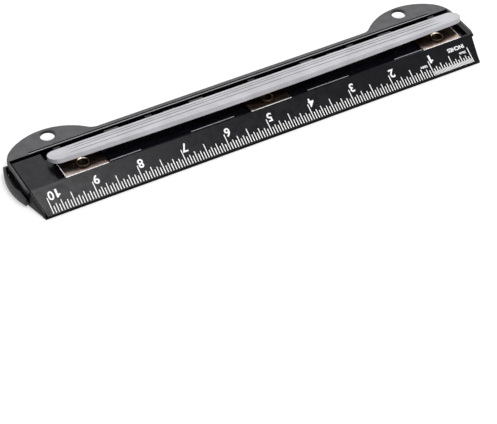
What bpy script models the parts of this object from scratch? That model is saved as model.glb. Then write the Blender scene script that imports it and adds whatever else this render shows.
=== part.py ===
"""Slim three hole punch with a ruler face, a lever and two binder ears.

Metres, +Z up, +X to the right along the ruler, +Y to the rear. The origin is on the underside,
below the middle of the body. The lever stands open and the punches are up.
"""

import math

import bmesh
import bpy

# Overall body
BODY_LENGTH = 0.2712
BODY_DEPTH = 0.0435
BODY_HEIGHT = 0.0104
RAIL_WIDTH = 0.0047
FIT = 0.0003
OVERRUN = 0.002

# Punches: the middle one stands right of the body's middle, because the paper starts at the left wall
PUNCH_OFFSET = 0.0071
PUNCH_END_ROOM = 0.01605
PUNCH_TO_RIDGE = 0.00675
PUNCH_DIAMETER = 0.0071
PUNCH_WALL = 0.0006
PUNCH_PROUD = 0.0008
PUNCH_WELL = 0.0030
PUNCH_NOTCH = 0.0008
NOTCH_RADIUS = 0.0080

# Paper slot and chip space
SLOT_GAP = 0.0013
SLOT_FLOOR = 0.0047
ROOF_THICKNESS = 0.0010
PAPER_MARGIN = 0.01265
STOP_TO_HINGE = 0.0032
LIP_TOP = 0.0024
LIP_THICKNESS = 0.0006
TONGUE_TIP = 0.0006
TONGUE_THICKNESS = 0.0007

# Ruler cover
RIDGE_WIDTH = 0.0010
FLOOR_THICKNESS = 0.0020
CORNER_TAPER = 0.0030
FOOT_TAPER = 0.0043
FOOT_BEHIND_RIDGE = 0.0034
COVER_END_GAP = 0.0019
DECK_REAR_GAP = 0.0019
LEVER_SIDE_GAP = 0.0005
FIN_THICKNESS = 0.0004
FIN_GAP = 0.0005
FIN_DROP = 0.0003
FIN_END_GAP = 0.00045
SCREW_TAB_WIDTH = 0.0070
SCREW_TAB_THICKNESS = 0.0013
SCREW_TAB_REAR_GAP = 0.0010

# Housing
WALL = 0.0018
FLANGE_THICKNESS = 0.0018
LUG_WIDTH = 0.0040
LUG_DEPTH = 0.0035
LUG_REAR_GAP = 0.0008
BOSS_RADIUS = 0.0021
BOSS_INSET = 0.0002
REAR_TAPER = 0.0012
WEDGE_FRONT = 0.0015
WEDGE_WIDTH = 0.0003
WEDGE_FRONT_BOTTOM = 0.0007
WEDGE_REAR_BOTTOM = 0.0038

# Binder frame: the rail with two ears, and an arm at each end
EAR_RADIUS = 0.0330
EAR_CENTRE_INSET = 0.0264
EAR_CENTRE_TO_REAR = 0.0219
EAR_HOLE_INSET = 0.0276
EAR_HOLE_BEHIND = 0.0053
EAR_HOLE_DIAMETER = 0.0085
EAR_FILLET = 0.0070
EAR_SIDE_ROUND = 0.0160
ARM_WIDTH = 0.0019
ARM_BEFORE_RIDGE = 0.0004

# Bottom cover
COVER_THICKNESS = 0.0010
COVER_REAR_GAP = 0.0002
COVER_FRONT_SHARE = 0.257

# Punch brackets and die plates
BRACKET_LENGTH = 0.0244
PLATE_THICKNESS = 0.0010
STRIPPER_THICKNESS = 0.0006
BRACKET_DROP = 0.0004
BRACKET_LIP = 0.0018
BRACKET_TO_RIDGE = 0.0006
SLOT_TO_HINGE = 0.0052
DIE_LEDGE = 0.0010
DIE_THICKNESS = 0.0010
LEDGE_DROP = 0.0003

# Chip tray
TRAY_HEIGHT = 0.0019
TRAY_FLOOR = 0.0007
TRAY_WALL = 0.0009
TRAY_END_GAP = 0.0030
TRAY_REAR_GAP = 0.0002
PULL_OVERHANG = 0.0004
PULL_REAR_GAP = 0.0016
PULL_GAP = 0.0009
PULL_WALL = 0.0018
PULL_BULGE = 0.0022
PULL_HEIGHT = 0.0056
PULL_ROUND = 0.0007
PULL_NECK_SHARE = 0.25

# Lever and its hinge
LEVER_END_ROOM = 0.0116
LEVER_TO_HINGE = 0.0040
LEVER_WIDTH = 0.0148
LEVER_BOW = 0.0032
LEVER_HEIGHT = 0.0017
LEVER_RISE = 0.0010
LEVER_SKIN = 0.0008
LEVER_TOP = 0.0126
LEVER_FRONT_ROUND_SHARE = 0.50
LEVER_REAR_ROUND_SHARE = 0.44
LEVER_EDGE = 0.0008
LEVER_OPEN_ANGLE = math.radians(12.5)
HINGE_HEIGHT = 0.0088
HINGE_TO_WALL = 0.0026
ROD_DIAMETER = 0.0018
ROD_END_GAP = 0.0070
KNUCKLE_WIDTH = 0.0080
KNUCKLE_WALL_GAP = 0.0004
KNUCKLE_LEG = 0.0022
KNUCKLE_ROOT = 0.0006
STAKE_RADIUS = 0.0009
BAR_THICKNESS = 0.0006
BAR_INSET = 0.0014

# Drive hooks: each ends in a tongue that enters the window of a punch
HOOK_THICKNESS = 0.0026
HOOK_REAR = 0.0060
HOOK_LEG = 0.0025
TONGUE_REACH = 0.0008
TONGUE_HEIGHT = 0.0008
TONGUE_RISE = 0.0008

# Return springs
SPRING_WIRE = 0.0006
SPRING_RADIUS = 0.0015
SPRING_PITCH = 0.0011
SPRING_TURNS = 5
SPRING_REAR_LEG = 0.0024
SPRING_FRONT_LEG = 0.0055
POINTS_PER_CURL = 10

# Screws
SCREW_RADIUS = 0.0009
SCREW_HEAD_RADIUS = 0.0015
SCREW_HEAD_HEIGHT = 0.0007
SCREW_CLEARANCE = 0.0003
SCREW_END_WALL = 0.0008
SOCKET_RADIUS = 0.0008
THIN_HEAD_HEIGHT = 0.0004

# Places along the hinge, as shares of the lever's length from the middle punch
LUG_SHARES = (-0.464, -0.25, 0, 0.25, 0.464)
KNUCKLE_SHARES = (-0.339, -0.137, 0.137, 0.339)
SPRING_SHARES = {"left": -0.202, "right": 0.202}
TAB_SHARES = (-0.294, -0.089, 0.089, 0.294)
STAKE_SHARES = (-0.45, -0.25, -0.1, 0.1, 0.25, 0.45)
BOSS_SHARES = (-0.46, -0.23, 0, 0.23, 0.46)
BOTTOM_SCREW_SHARES = (-0.44, 0.44)
# Each fin starts at this share of the way from the middle punch to the next; the inner one also ends at one
FIN_INNER_SHARES = (0.2075, 0.4437)
FIN_OUTER_SHARE = 0.716

SIDES = 32
SMALL_SIDES = 16
BOW_STEPS = 16
PLACES = {"left": -1, "centre": 0, "right": 1}

# Places worked out from the sizes above, from the front edge and from the rear
REAR_WALL_FRONT = BODY_DEPTH - RAIL_WIDTH
HINGE_SETBACK = REAR_WALL_FRONT - HINGE_TO_WALL
PAPER_STOP = HINGE_SETBACK - STOP_TO_HINGE
PUNCH_SETBACK = PAPER_STOP - PAPER_MARGIN
RIDGE_SETBACK = PUNCH_SETBACK - PUNCH_TO_RIDGE
RECESS_SETBACK = RIDGE_SETBACK + RIDGE_WIDTH
BRACKET_FRONT = RIDGE_SETBACK + BRACKET_TO_RIDGE
DIE_FRONT = BRACKET_FRONT - DIE_LEDGE
SLOT_REAR = HINGE_SETBACK - SLOT_TO_HINGE
LEVER_REAR = HINGE_SETBACK - LEVER_TO_HINGE
LUG_REAR = REAR_WALL_FRONT - LUG_REAR_GAP
LUG_FRONT = LUG_REAR - LUG_DEPTH
DECK_REAR = REAR_WALL_FRONT - DECK_REAR_GAP
SCREW_TAB_REAR = REAR_WALL_FRONT - SCREW_TAB_REAR_GAP
BOSS_SETBACK = REAR_WALL_FRONT + BOSS_RADIUS + BOSS_INSET
EAR_CENTRE_SETBACK = BODY_DEPTH - EAR_CENTRE_TO_REAR
EAR_HOLE_SETBACK = BODY_DEPTH + EAR_HOLE_BEHIND
ARM_FRONT = RIDGE_SETBACK - ARM_BEFORE_RIDGE
FOOT_SETBACK = RIDGE_SETBACK + FOOT_BEHIND_RIDGE
WEDGE_REAR = ARM_FRONT - FIT
TRAY_FRONT = BRACKET_FRONT
TRAY_REAR = PAPER_STOP - TRAY_REAR_GAP
PULL_FRONT = TRAY_FRONT - PULL_OVERHANG
PULL_REAR = BODY_DEPTH - PULL_REAR_GAP
COVER_FRONT = COVER_FRONT_SHARE * RIDGE_SETBACK
COVER_REAR = REAR_WALL_FRONT - COVER_REAR_GAP
FRONT_SCREW_SETBACK = (COVER_FRONT + TRAY_FRONT) / 2

# Lengths worked out from the body's length: letter paper wants 107.95 mm from punch to punch
HALF_LENGTH = BODY_LENGTH / 2
LEVER_LENGTH = BODY_LENGTH - 2 * LEVER_END_ROOM
PUNCH_SPACING = LEVER_LENGTH / 2 - PUNCH_END_ROOM
ROD_LENGTH = LEVER_LENGTH - 2 * ROD_END_GAP
EAR_HOLE_SPACING = BODY_LENGTH - 2 * EAR_HOLE_INSET
KNUCKLE_RADIUS = HINGE_TO_WALL - KNUCKLE_WALL_GAP
# The corners share the lever's width at its ends, where the bow leaves least
LEVER_FRONT_ROUND = LEVER_FRONT_ROUND_SHARE * (LEVER_WIDTH - LEVER_BOW)
LEVER_REAR_ROUND = LEVER_REAR_ROUND_SHARE * (LEVER_WIDTH - LEVER_BOW)

# Levels worked out from the sizes above
CEILING = SLOT_FLOOR + SLOT_GAP
RECESS_FLOOR = CEILING + FLOOR_THICKNESS
BRACKET_TOP = BODY_HEIGHT - BRACKET_DROP
FLANGE_BOTTOM = BODY_HEIGHT - FLANGE_THICKNESS
WALL_TOP = FLANGE_BOTTOM - FIT
ROOF_BOTTOM = SLOT_FLOOR - ROOF_THICKNESS
BLOCK_TOP = CEILING - FIT
DIE_BOTTOM = SLOT_FLOOR - DIE_THICKNESS
WEB_REAR = PAPER_STOP + PLATE_THICKNESS
TRAY_BOTTOM = COVER_THICKNESS + FIT
TRAY_TOP = TRAY_BOTTOM + TRAY_HEIGHT
LEVER_BOTTOM = LEVER_TOP - LEVER_HEIGHT
BAR_TOP = LEVER_TOP - LEVER_SKIN - FIT
BAR_BOTTOM = BAR_TOP - BAR_THICKNESS
BORE_RADIUS = PUNCH_DIAMETER / 2 + FIT
PUNCH_TOP = BRACKET_TOP + PUNCH_PROUD
PUNCH_BOTTOM = CEILING + FIT / 3
COVER_HALF = HALF_LENGTH - COVER_END_GAP - FIT
RECESS_HALF = LEVER_LENGTH / 2 + LEVER_SIDE_GAP
# The tongue meets the rear wall of its punch this far in front of the hinge
DRIVE_ARM = HINGE_SETBACK - PUNCH_SETBACK - PUNCH_DIAMETER / 2 + PUNCH_WALL / 2
PUNCH_STROKE = DRIVE_ARM * LEVER_OPEN_ANGLE


def depth(setback):
    """World y of a place that lies this far behind the front edge."""
    return setback - BODY_DEPTH / 2


def along(share):
    """World x of a place given as a share of the lever's length from the middle punch."""
    return PUNCH_OFFSET + share * LEVER_LENGTH


def punch_x(index):
    return PUNCH_OFFSET + index * PUNCH_SPACING


for old in list(bpy.data.objects):
    bpy.data.objects.remove(old, do_unlink=True)

PARTS = bpy.data.collections.new("three_hole_punch")
TOOLS = bpy.data.collections.new("construction_tools")
bpy.context.scene.collection.children.link(PARTS)
bpy.context.scene.collection.children.link(TOOLS)


def material(name, colour, roughness, metallic=0.0):
    made = bpy.data.materials.new(name)
    made.use_nodes = True
    shader = made.node_tree.nodes["Principled BSDF"]
    shader.inputs["Base Color"].default_value = (*colour, 1.0)
    shader.inputs["Roughness"].default_value = roughness
    shader.inputs["Metallic"].default_value = metallic
    return made


def add(name, mesh, finish=None, collection=PARTS):
    made = bpy.data.objects.new(name, mesh)
    collection.objects.link(made)
    if finish:
        mesh.materials.append(finish)
    return made


def tool(name, mesh):
    """A cutter or a piece to be joined, kept out of the build."""
    made = add(name, mesh, collection=TOOLS)
    made.hide_render = True
    made.display_type = "WIRE"
    return made


def box_mesh(name, low, high):
    shape = bmesh.new()
    bmesh.ops.create_cube(shape, size=1)
    for point in shape.verts:
        for axis in range(3):
            point.co[axis] = low[axis] + (point.co[axis] + 0.5) * (high[axis] - low[axis])
    mesh = bpy.data.meshes.new(name)
    shape.to_mesh(mesh)
    shape.free()
    return mesh


def cylinder_mesh(name, centre, radius, length, axis="Z", sides=SIDES):
    """A closed cylinder round the centre of its length."""
    shape = bmesh.new()
    bmesh.ops.create_cone(shape, cap_ends=True, segments=sides, radius1=radius, radius2=radius, depth=length)
    for point in shape.verts:
        x, y, z = point.co
        if axis == "X":
            x, y, z = z, x, y
        elif axis == "Y":
            x, y, z = y, z, x
        point.co = (x + centre[0], y + centre[1], z + centre[2])
    mesh = bpy.data.meshes.new(name)
    shape.to_mesh(mesh)
    shape.free()
    return mesh


def plate_mesh(name, outline, thickness):
    """A flat outline in local X and Y, thickened evenly both ways along local Z."""
    curve = bpy.data.curves.new(name, "CURVE")
    curve.dimensions = "2D"
    curve.fill_mode = "BOTH"
    curve.extrude = thickness / 2
    spline = curve.splines.new("POLY")
    spline.points.add(len(outline) - 1)
    for point, (x, y) in zip(spline.points, outline):
        point.co = (x, y, 0, 1)
    spline.use_cyclic_u = True
    return mesh_of_curve(name, curve)


def face_outwards(shape):
    bmesh.ops.recalc_face_normals(shape, faces=shape.faces)
    if shape.calc_volume(signed=True) < 0:
        bmesh.ops.reverse_faces(shape, faces=shape.faces)


def mesh_of_curve(name, curve):
    holder = bpy.data.objects.new(name, curve)
    TOOLS.objects.link(holder)
    evaluated = holder.evaluated_get(bpy.context.evaluated_depsgraph_get())
    mesh = bpy.data.meshes.new_from_object(evaluated)
    bpy.data.objects.remove(holder, do_unlink=True)
    shape = bmesh.new()
    shape.from_mesh(mesh)
    bmesh.ops.remove_doubles(shape, verts=shape.verts, dist=FIT / 100)
    face_outwards(shape)
    shape.to_mesh(mesh)
    shape.free()
    return mesh


def level_plate(name, outline, bottom, top):
    """A plate drawn from above, in world x and y."""
    mesh = plate_mesh(name, outline, top - bottom)
    for point in mesh.vertices:
        point.co.z += (bottom + top) / 2
    return mesh


def section(name, outline, start, end):
    """A section drawn in y and z, run along x from start to end."""
    mesh = plate_mesh(name, outline, end - start)
    for point in mesh.vertices:
        y, z, x = point.co
        point.co = (x + (start + end) / 2, y, z)
    return mesh


def arc(centre, radius, start, end, steps):
    """Points on an arc, both ends included; angles in degrees."""
    points = []
    for step in range(steps + 1):
        angle = math.radians(start + (end - start) * step / steps)
        points.append((centre[0] + radius * math.cos(angle), centre[1] + radius * math.sin(angle)))
    return points


def boolean(target, other, operation):
    """A tool moves with the piece that it shapes, so both have one parent."""
    other.parent = target.parent
    modifier = target.modifiers.new(other.name, "BOOLEAN")
    modifier.operation = operation
    modifier.object = other
    modifier.solver = "EXACT"


def cut(target, mesh):
    boolean(target, tool(mesh.name, mesh), "DIFFERENCE")


def join(target, mesh):
    boolean(target, tool(mesh.name, mesh), "UNION")


def bevel(target, width):
    modifier = target.modifiers.new("edges", "BEVEL")
    modifier.width = width
    modifier.segments = 2
    modifier.limit_method = "ANGLE"
    modifier.angle_limit = math.radians(50)


def smooth(target):
    target.data.shade_smooth()
    target.data.set_sharp_from_angle(angle=math.radians(35))


BLACK = material("black_moulding", (0.045, 0.045, 0.05), 0.45)
DARK = material("dark_moulding", (0.03, 0.03, 0.033), 0.5)
GREY = material("grey_lever_plastic", (0.55, 0.55, 0.58), 0.35)
NICKEL = material("nickel_plated_steel", (0.62, 0.56, 0.5), 0.22, 1.0)
STEEL = material("bright_steel", (0.6, 0.6, 0.6), 0.3, 1.0)
HARD = material("hardened_steel", (0.32, 0.32, 0.33), 0.35, 1.0)
BRASS = material("brass", (0.62, 0.5, 0.27), 0.3, 1.0)


def corner_cutters(target, inner, outer, bottom, top):
    """Trims both ends outside a line between two places, each a half length and a setback."""
    # The line runs on past both places, so that the cutter's own corners stay outside the piece
    run = (outer[0] - inner[0], outer[1] - inner[1])
    share = OVERRUN / abs(run[1])
    start = (inner[0] - run[0] * share, depth(inner[1] - run[1] * share))
    end = (outer[0] + run[0] * share, depth(outer[1] + run[1] * share))
    outside = HALF_LENGTH + 2 * OVERRUN
    for side in (-1, 1):
        outline = [(side * x, y) for x, y in (start, end, (outside, end[1]), (outside, start[1]))]
        name = f"{target.name}_corner_{side}_{round(inner[1] / FIT)}"
        cut(target, level_plate(name, outline, bottom - OVERRUN, top + OVERRUN))


def cover_end(setback):
    """Half length of the ruler cover in front of its ridge."""
    return COVER_HALF - CORNER_TAPER * (1 - setback / (RIDGE_SETBACK + FIT / 2))


def foot_end(setback):
    """Half length of the housing in front of the place where it has its full length."""
    return HALF_LENGTH - FOOT_TAPER * (1 - setback / FOOT_SETBACK)


def corner_wedge_mesh():
    """Closes the left end of the slot in front of the arm; its outer face leans in towards the ruler."""
    mesh = box_mesh("corner_wedge", (0, 0, 0), (1, 1, 1))
    for point in mesh.vertices:
        outside, behind, above = (round(value) for value in point.co)
        setback = WEDGE_REAR if behind else WEDGE_FRONT
        bottom = WEDGE_REAR_BOTTOM if behind else WEDGE_FRONT_BOTTOM
        x = cover_end(setback) + FIT
        if outside:
            x = x + WEDGE_WIDTH if above else foot_end(setback) + FIT
        slope = LIP_TOP + (BODY_HEIGHT - LIP_TOP) * setback / RIDGE_SETBACK
        point.co = (-x, depth(setback), slope - FIT / 3 if above else bottom)
    shape = bmesh.new()
    shape.from_mesh(mesh)
    face_outwards(shape)
    shape.to_mesh(mesh)
    shape.free()
    return mesh


def turned_mesh(name, profile, sides=SMALL_SIDES):
    """A profile of (radius, height) points turned once round Z."""
    shape = bmesh.new()
    points = [shape.verts.new((radius, 0, height)) for radius, height in profile]
    for first, second in zip(points, points[1:]):
        shape.edges.new((first, second))
    line = bpy.data.meshes.new(name)
    shape.to_mesh(line)
    shape.free()
    holder = bpy.data.objects.new(name, line)
    TOOLS.objects.link(holder)
    turn = holder.modifiers.new("turn", "SCREW")
    turn.steps = sides
    turn.render_steps = sides
    turn.use_merge_vertices = True
    turn.merge_threshold = FIT / 10
    evaluated = holder.evaluated_get(bpy.context.evaluated_depsgraph_get())
    mesh = bpy.data.meshes.new_from_object(evaluated)
    bpy.data.objects.remove(holder, do_unlink=True)
    shape = bmesh.new()
    shape.from_mesh(mesh)
    face_outwards(shape)
    shape.to_mesh(mesh)
    shape.free()
    return mesh


def screws(label, places, head_bottom, head_height, tip):
    """Screws that are driven from below: a head with a round socket, and a plain shank."""
    profile = [
        (0, tip),
        (SCREW_RADIUS, tip),
        (SCREW_RADIUS, head_bottom + head_height),
        (SCREW_HEAD_RADIUS, head_bottom + head_height),
        (SCREW_HEAD_RADIUS, head_bottom),
        (SOCKET_RADIUS, head_bottom),
        (SOCKET_RADIUS, head_bottom + head_height / 2),
        (0, head_bottom + head_height / 2),
    ]
    mesh = turned_mesh(label, profile)
    mesh.materials.append(STEEL)
    for number, (x, y) in enumerate(places, start=1):
        screw = add(f"{label}_{number}", mesh)
        screw.location = (x, y, 0)
        smooth(screw)


def screw_hole(target, x, y, bottom, head_top, tip):
    """Room for a screw: a wide part for its head and a narrow one past its tip."""
    wide = SCREW_HEAD_RADIUS + SCREW_CLEARANCE
    narrow = SCREW_RADIUS + SCREW_CLEARANCE
    name = f"{target.name}_hole_{round(x / FIT)}_{round(y / FIT)}"
    cut(target, cylinder_mesh(f"{name}_shank", (x, y, (bottom + tip) / 2), narrow, tip - bottom, sides=SMALL_SIDES))
    if head_top > bottom:
        middle = (x, y, (bottom + head_top) / 2)
        cut(target, cylinder_mesh(f"{name}_head", middle, wide, head_top - bottom, sides=SMALL_SIDES))


# Heights of the three sets of screws
LOW_HEAD = TRAY_BOTTOM + FIT
LOW_HEAD_TOP = LOW_HEAD + SCREW_HEAD_HEIGHT + FIT
TAB_SCREW_TIP = CEILING + SCREW_TAB_THICKNESS - SCREW_END_WALL
FRAME_SCREW_TIP = BODY_HEIGHT - SCREW_END_WALL
BOSS_BOTTOM = TRAY_BOTTOM
BOSS_HEAD = BOSS_BOTTOM + FIT
BOSS_HEAD_TOP = BOSS_HEAD + SCREW_HEAD_HEIGHT + FIT
BOTTOM_HEAD = FIT / 3
BOTTOM_HEAD_TOP = BOTTOM_HEAD + THIN_HEAD_HEIGHT
FRONT_SCREW_TIP = TRAY_BOTTOM + SCREW_HEAD_HEIGHT

TAB_SCREWS = [(along(share), depth(HINGE_SETBACK)) for share in TAB_SHARES]
FRAME_SCREWS = [(share * BODY_LENGTH, depth(BOSS_SETBACK)) for share in BOSS_SHARES]
BOTTOM_SCREWS = [(share * BODY_LENGTH, depth(setback)) for share in BOTTOM_SCREW_SHARES
                 for setback in (FRONT_SCREW_SETBACK, HINGE_SETBACK)]


def make_housing():
    """Ramp, roof over the chip tray, rear block, rear wall and left end wall, in one moulding."""
    outline = [
        (depth(TONGUE_TIP), 0),
        (depth(TONGUE_TIP), TONGUE_THICKNESS),
        (depth(DIE_FRONT), SLOT_FLOOR),
        (depth(PAPER_STOP + FIT), SLOT_FLOOR),
        (depth(PAPER_STOP + FIT), BLOCK_TOP),
        (depth(REAR_WALL_FRONT), BLOCK_TOP),
        (depth(REAR_WALL_FRONT), WALL_TOP),
        (depth(REAR_WALL_FRONT + WALL), WALL_TOP),
        (depth(REAR_WALL_FRONT + WALL), 0),
        (depth(COVER_REAR + FIT), 0),
        (depth(COVER_REAR + FIT), TRAY_BOTTOM),
        (depth(COVER_FRONT - FIT), TRAY_BOTTOM),
        (depth(COVER_FRONT - FIT), 0),
    ]
    housing = add("housing", section("housing", outline, -HALF_LENGTH, HALF_LENGTH), BLACK)
    end_wall = box_mesh("left_end_wall", (-HALF_LENGTH, depth(WEDGE_REAR - FIT), TRAY_BOTTOM),
                        (ARM_WIDTH - HALF_LENGTH, depth(REAR_WALL_FRONT + WALL / 2), WALL_TOP))
    join(housing, end_wall)
    join(housing, corner_wedge_mesh())
    for share in LUG_SHARES:
        x = along(share)
        join(housing, box_mesh(f"rod_lug_{share}", (x - LUG_WIDTH / 2, depth(LUG_FRONT), ROOF_BOTTOM),
                               (x + LUG_WIDTH / 2, depth(LUG_REAR), BODY_HEIGHT)))
    for x, y in FRAME_SCREWS:
        middle = (x, y, (BOSS_BOTTOM + WALL_TOP) / 2)
        join(housing, cylinder_mesh(f"frame_boss_{x:.3f}", middle, BOSS_RADIUS, WALL_TOP - BOSS_BOTTOM,
                                    sides=SMALL_SIDES))
    tunnel = box_mesh("tray_tunnel", (-HALF_LENGTH - OVERRUN, depth(TRAY_FRONT - FIT), -OVERRUN),
                      (HALF_LENGTH - WALL, depth(TRAY_REAR + FIT), ROOF_BOTTOM))
    cut(housing, tunnel)
    for place, index in PLACES.items():
        x = punch_x(index)
        half = BRACKET_LENGTH / 2 + FIT
        cut(housing, box_mesh(f"die_opening_{place}", (x - half, depth(DIE_FRONT - FIT), DIE_BOTTOM - LEDGE_DROP),
                              (x + half, depth(WEB_REAR + FIT), BODY_HEIGHT)))
    rod_hole = cylinder_mesh("rod_hole", (PUNCH_OFFSET, depth(HINGE_SETBACK), HINGE_HEIGHT),
                             ROD_DIAMETER / 2 + FIT, LEVER_LENGTH, axis="X", sides=SMALL_SIDES)
    cut(housing, rod_hole)
    for x, y in TAB_SCREWS:
        screw_hole(housing, x, y, COVER_THICKNESS, LOW_HEAD_TOP, BODY_HEIGHT)
    for x, y in FRAME_SCREWS:
        screw_hole(housing, x, y, BOSS_BOTTOM - OVERRUN, BOSS_HEAD_TOP, BODY_HEIGHT)
    for x, y in BOTTOM_SCREWS:
        screw_hole(housing, x, y, COVER_THICKNESS, COVER_THICKNESS, FRONT_SCREW_TIP + FIT)
    corner_cutters(housing, (foot_end(0), 0), (HALF_LENGTH, FOOT_SETBACK), 0, BODY_HEIGHT)
    corner_cutters(housing, (HALF_LENGTH - REAR_TAPER, REAR_WALL_FRONT + WALL), (HALF_LENGTH, REAR_WALL_FRONT - WALL),
                   0, BODY_HEIGHT)


def make_ruler_cover():
    """Sloping ruler face, ridge, recess floor between the brackets and a deck at each end."""
    outline = [
        (depth(0), LIP_TOP - LIP_THICKNESS),
        (depth(0), LIP_TOP),
        (depth(RIDGE_SETBACK), BODY_HEIGHT),
        (depth(RECESS_SETBACK), BODY_HEIGHT),
        (depth(RECESS_SETBACK), RECESS_FLOOR),
        (depth(WEB_REAR - FIT), RECESS_FLOOR),
        (depth(WEB_REAR - FIT), CEILING),
        (depth(DIE_FRONT - FIT), CEILING),
    ]
    cover = add("ruler_cover", section("ruler_cover", outline, -COVER_HALF, COVER_HALF), BLACK)
    for side in (-1, 1):
        inner = PUNCH_OFFSET + side * RECESS_HALF
        low, high = sorted((inner, side * COVER_HALF))
        join(cover, box_mesh(f"end_deck_{side}", (low, depth(RIDGE_SETBACK), CEILING),
                             (high, depth(DECK_REAR), BODY_HEIGHT)))
    for index, (x, y) in enumerate(TAB_SCREWS):
        join(cover, box_mesh(f"screw_tab_{index}", (x - SCREW_TAB_WIDTH / 2, depth(PAPER_STOP), CEILING),
                             (x + SCREW_TAB_WIDTH / 2, depth(SCREW_TAB_REAR), CEILING + SCREW_TAB_THICKNESS)))
    # Thin fins stand just behind the ridge, two between each pair of brackets
    front = depth(RECESS_SETBACK + FIN_GAP)
    inner = [share * PUNCH_SPACING for share in FIN_INNER_SHARES]
    outer = [FIN_OUTER_SHARE * PUNCH_SPACING, PUNCH_SPACING - BRACKET_LENGTH / 2 - FIT - FIN_END_GAP]
    for side in (-1, 1):
        for start, end in (inner, outer):
            low, high = sorted((PUNCH_OFFSET + side * start, PUNCH_OFFSET + side * end))
            join(cover, box_mesh(f"fin_{side}_{start:.3f}", (low, front, CEILING + FLOOR_THICKNESS / 2),
                                 (high, front + FIN_THICKNESS, BODY_HEIGHT - FIN_DROP)))
    for place, index in PLACES.items():
        x = punch_x(index)
        half = BRACKET_LENGTH / 2 + FIT
        cut(cover, box_mesh(f"bracket_window_{place}", (x - half, depth(BRACKET_FRONT - FIT), 0),
                            (x + half, depth(WEB_REAR + OVERRUN), BODY_HEIGHT + OVERRUN)))
    for x, y in TAB_SCREWS:
        screw_hole(cover, x, y, SLOT_FLOOR, SLOT_FLOOR, TAB_SCREW_TIP + FIT)
    corner_cutters(cover, (cover_end(0), 0), (COVER_HALF, RIDGE_SETBACK + FIT / 2), 0, BODY_HEIGHT)


def make_binder_frame():
    """Flat frame: the rear rail with an ear near each end, and an arm along each end of the body."""
    reach = EAR_CENTRE_INSET
    ear_x = HALF_LENGTH - reach
    centre = (ear_x, depth(EAR_CENTRE_SETBACK))
    rail = depth(BODY_DEPTH)
    # A larger round than a corner joins the side of the body to the ear
    side_x = reach - EAR_SIDE_ROUND
    side_y = math.sqrt((EAR_RADIUS - EAR_SIDE_ROUND) ** 2 - side_x ** 2)
    outer_angle = math.degrees(math.atan2(side_y, side_x))
    # A concave fillet joins each ear to the rail
    centres_apart = EAR_RADIUS + EAR_FILLET
    fillet_y = rail + EAR_FILLET
    fillet_x = ear_x - math.sqrt(centres_apart ** 2 - (fillet_y - centre[1]) ** 2)
    inner_angle = 180 - math.degrees(math.asin((fillet_y - centre[1]) / centres_apart))
    right = arc((ear_x + side_x, centre[1] + side_y), EAR_SIDE_ROUND, 0, outer_angle, 7)
    right += arc(centre, EAR_RADIUS, outer_angle, inner_angle, 24)[1:]
    right += arc((fillet_x, fillet_y), EAR_FILLET, inner_angle - 180, -90, 5)[1:]
    left = [(-x, y) for x, y in reversed(right)]
    arm_inner = HALF_LENGTH - ARM_WIDTH
    tip = foot_end(ARM_FRONT)
    outline = [(tip, depth(ARM_FRONT)), (HALF_LENGTH, depth(FOOT_SETBACK))] + right + left
    outline += [
        (-HALF_LENGTH, depth(FOOT_SETBACK)),
        (-tip, depth(ARM_FRONT)),
        (-arm_inner, depth(ARM_FRONT)),
        (-arm_inner, depth(REAR_WALL_FRONT)),
        (arm_inner, depth(REAR_WALL_FRONT)),
        (arm_inner, depth(ARM_FRONT)),
    ]
    frame = add("binder_frame", level_plate("binder_frame", outline, FLANGE_BOTTOM, BODY_HEIGHT), BLACK)
    for side in (-1, 1):
        middle = (side * EAR_HOLE_SPACING / 2, depth(EAR_HOLE_SETBACK), (FLANGE_BOTTOM + BODY_HEIGHT) / 2)
        cut(frame, cylinder_mesh(f"ear_hole_{side}", middle, EAR_HOLE_DIAMETER / 2, FLANGE_THICKNESS + OVERRUN))
    for x, y in FRAME_SCREWS:
        screw_hole(frame, x, y, WALL_TOP, WALL_TOP, FRAME_SCREW_TIP + FIT)


def make_bottom_cover():
    half = HALF_LENGTH - FIT
    low = (-half, depth(COVER_FRONT), 0)
    high = (half, depth(COVER_REAR), COVER_THICKNESS)
    cover = add("bottom_cover", box_mesh("bottom_cover", low, high), DARK)
    for x, y in BOTTOM_SCREWS:
        screw_hole(cover, x, y, -OVERRUN, BOTTOM_HEAD_TOP + FIT, COVER_THICKNESS + OVERRUN)
    corner_cutters(cover, (foot_end(0) - FIT, 0), (HALF_LENGTH - FIT, FOOT_SETBACK), 0, COVER_THICKNESS)


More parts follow.
